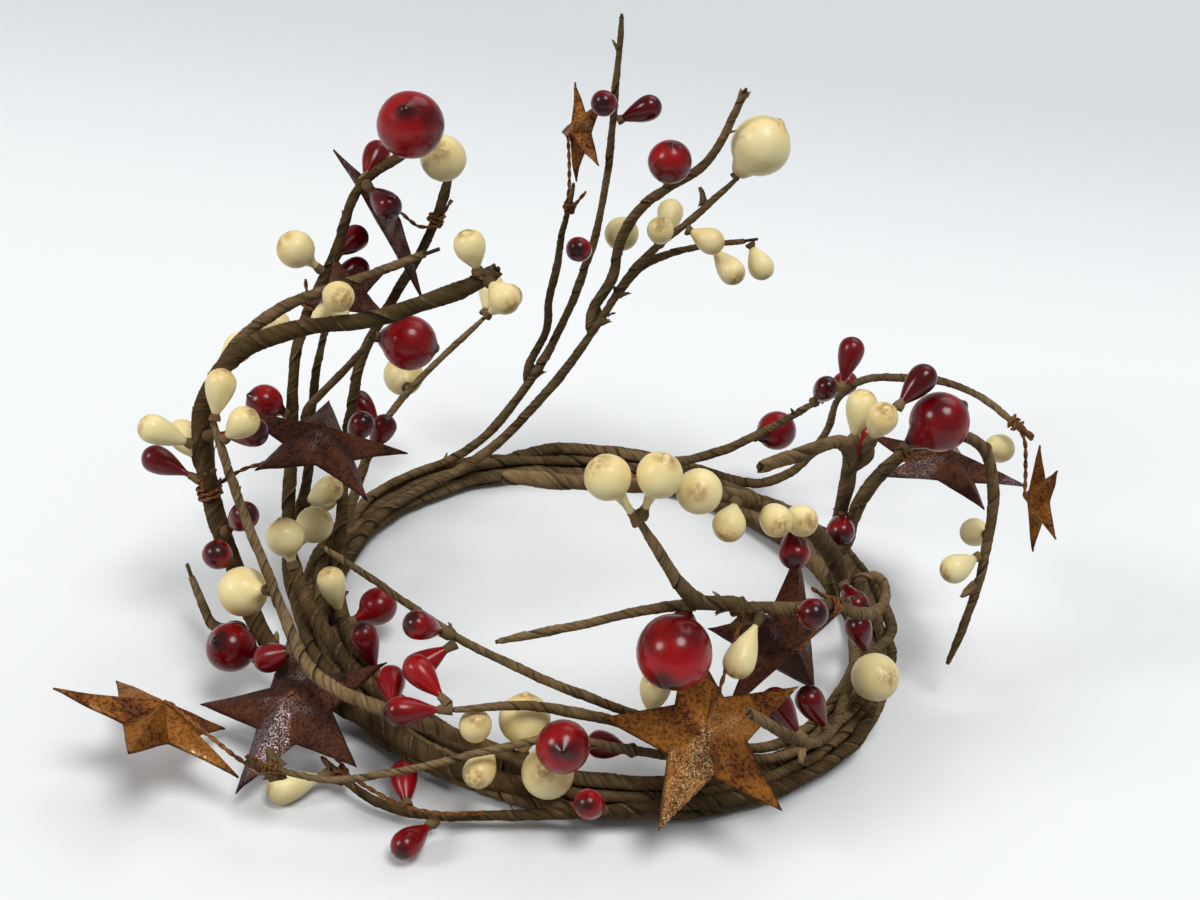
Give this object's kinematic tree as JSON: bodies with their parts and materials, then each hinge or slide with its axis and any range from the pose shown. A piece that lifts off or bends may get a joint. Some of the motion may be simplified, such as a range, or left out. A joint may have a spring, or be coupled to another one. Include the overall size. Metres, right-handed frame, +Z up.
{
  "type": "candle ring",
  "caption": "Wreath-like candle ring of brown paper-wrapped wire twigs with red and cream berries and rusty tin stars, made to sit round a jar candle.",
  "frame": {"origin": "centre of the ring on the table top that the hoop rests on", "axes": "+Z up, along the candle's axis; -Y towards the front that the picture shows; +X to the right"},
  "size_m": [0.2202, 0.1804, 0.1421],
  "materials": {
    "twig_paper": "matte",
    "red_lacquer": "gloss",
    "cream_lacquer": "satin",
    "rusty_tin": "satin",
    "dark_tin": "satin",
    "rusty_wire": "satin"
  },
  "bodies": {
    "wreath": {"back_and_right_cream_berries": "cream_lacquer", "back_and_right_cream_pips": "cream_lacquer", "back_and_right_red_berries": "red_lacquer", "back_and_right_red_pips": "red_lacquer", "back_and_right_tie_wires": "rusty_wire", "back_berry_twig": "twig_paper", "back_left_twig": "twig_paper", "back_level_twig": "twig_paper", "back_right_stem": "twig_paper", "back_spread_stem": "twig_paper", "back_star_twig": "twig_paper", "back_tall_stem": "twig_paper", "base_hoop": "twig_paper", "front_cream_berries": "cream_lacquer", "front_cream_pips": "cream_lacquer", "front_cross_twig": "twig_paper", "front_long_twig": "twig_paper", "front_low_twig": "twig_paper", "front_red_berries": "red_lacquer", "front_red_pips": "red_lacquer", "front_right_arch": "twig_paper", "front_right_twig": "twig_paper", "front_short_twig": "twig_paper", "front_star_twig": "twig_paper", "front_tie_wires": "rusty_wire", "front_upright_twig": "twig_paper", "inner_high_strand": "twig_paper", "inner_low_strand": "twig_paper", "left_arch_fork": "twig_paper", "left_arch_stem": "twig_paper", "left_cream_berries": "cream_lacquer", "left_cream_pips": "cream_lacquer", "left_cross_twig": "twig_paper", "left_edge_star": "dark_tin", "left_front_stem": "twig_paper", "left_inner_stem": "twig_paper", "left_middle_stem": "twig_paper", "left_outer_twig": "twig_paper", "left_red_berries": "red_lacquer", "left_red_pips": "red_lacquer", "left_tall_stem": "twig_paper", "left_tie_wires": "rusty_wire", "outer_high_strand": "twig_paper", "outer_low_strand": "twig_paper", "right_back_stem": "twig_paper", "right_berry_twig": "twig_paper", "right_drooping_twig": "twig_paper", "right_fork": "twig_paper", "right_stem": "twig_paper"},
    "front_star_body": {"front_star": "rusty_tin"},
    "left_low_star_body": {"left_low_star": "dark_tin"},
    "left_flat_star_body": {"left_flat_star": "dark_tin"},
    "left_end_star_body": {"left_end_star": "rusty_tin"},
    "left_small_star_body": {"left_small_star": "dark_tin"},
    "front_dark_star_body": {"front_dark_star": "dark_tin"},
    "right_flat_star_body": {"right_flat_star": "dark_tin"},
    "right_small_star_body": {"right_small_star": "rusty_tin"},
    "back_small_star_body": {"back_small_star": "rusty_tin"}
  },
  "joints": [
    {"name": "front_star_turn", "type": "hinge", "parent": "wreath", "child": "front_star_body", "pos_m": [0.02527, -0.0792, 0.03233], "axis": [-0.0357, -0.6811, 0.7314], "range_deg": [-12, 20]},
    {"name": "left_low_star_turn", "type": "hinge", "parent": "wreath", "child": "left_low_star_body", "pos_m": [-0.0663, -0.06903, 0.01878], "axis": [-0.2448, -0.3248, 0.9135], "range_deg": [-12, 2]},
    {"name": "left_flat_star_turn", "type": "hinge", "parent": "wreath", "child": "left_flat_star_body", "pos_m": [-0.07098, -0.01084, 0.05414], "axis": [0.1879, 0.0331, 0.9816], "range_deg": [-40, 40]},
    {"name": "left_end_star_turn", "type": "hinge", "parent": "wreath", "child": "left_end_star_body", "pos_m": [-0.09133, -0.07721, 0.01974], "axis": [0.3189, 0.4232, 0.848], "range_deg": [-20, 10]},
    {"name": "left_small_star_turn", "type": "hinge", "parent": "wreath", "child": "left_small_star_body", "pos_m": [-0.07134, 0.00666, 0.08326], "axis": [-0.25, -0.433, 0.866], "range_deg": [-40, 40]},
    {"name": "front_dark_star_turn", "type": "hinge", "parent": "wreath", "child": "front_dark_star_body", "pos_m": [0.04504, -0.04997, 0.03527], "axis": [0.5584, -0.8279, 0.0523], "range_deg": [-40, 40]},
    {"name": "right_flat_star_turn", "type": "hinge", "parent": "wreath", "child": "right_flat_star_body", "pos_m": [0.08442, 0.021, 0.05197], "axis": [0.0852, 0.1312, 0.9877], "range_deg": [-25, 25]},
    {"name": "right_small_star_turn", "type": "hinge", "parent": "wreath", "child": "right_small_star_body", "pos_m": [0.09979, -0.00596, 0.05589], "axis": [-0.9919, -0.1218, -0.0349], "range_deg": [-35, 35]},
    {"name": "back_small_star_turn", "type": "hinge", "parent": "wreath", "child": "back_small_star_body", "pos_m": [-0.02281, 0.06715, 0.10722], "axis": [-0.8808, -0.4683, 0.0698], "range_deg": [-30, 10]}
  ]
}
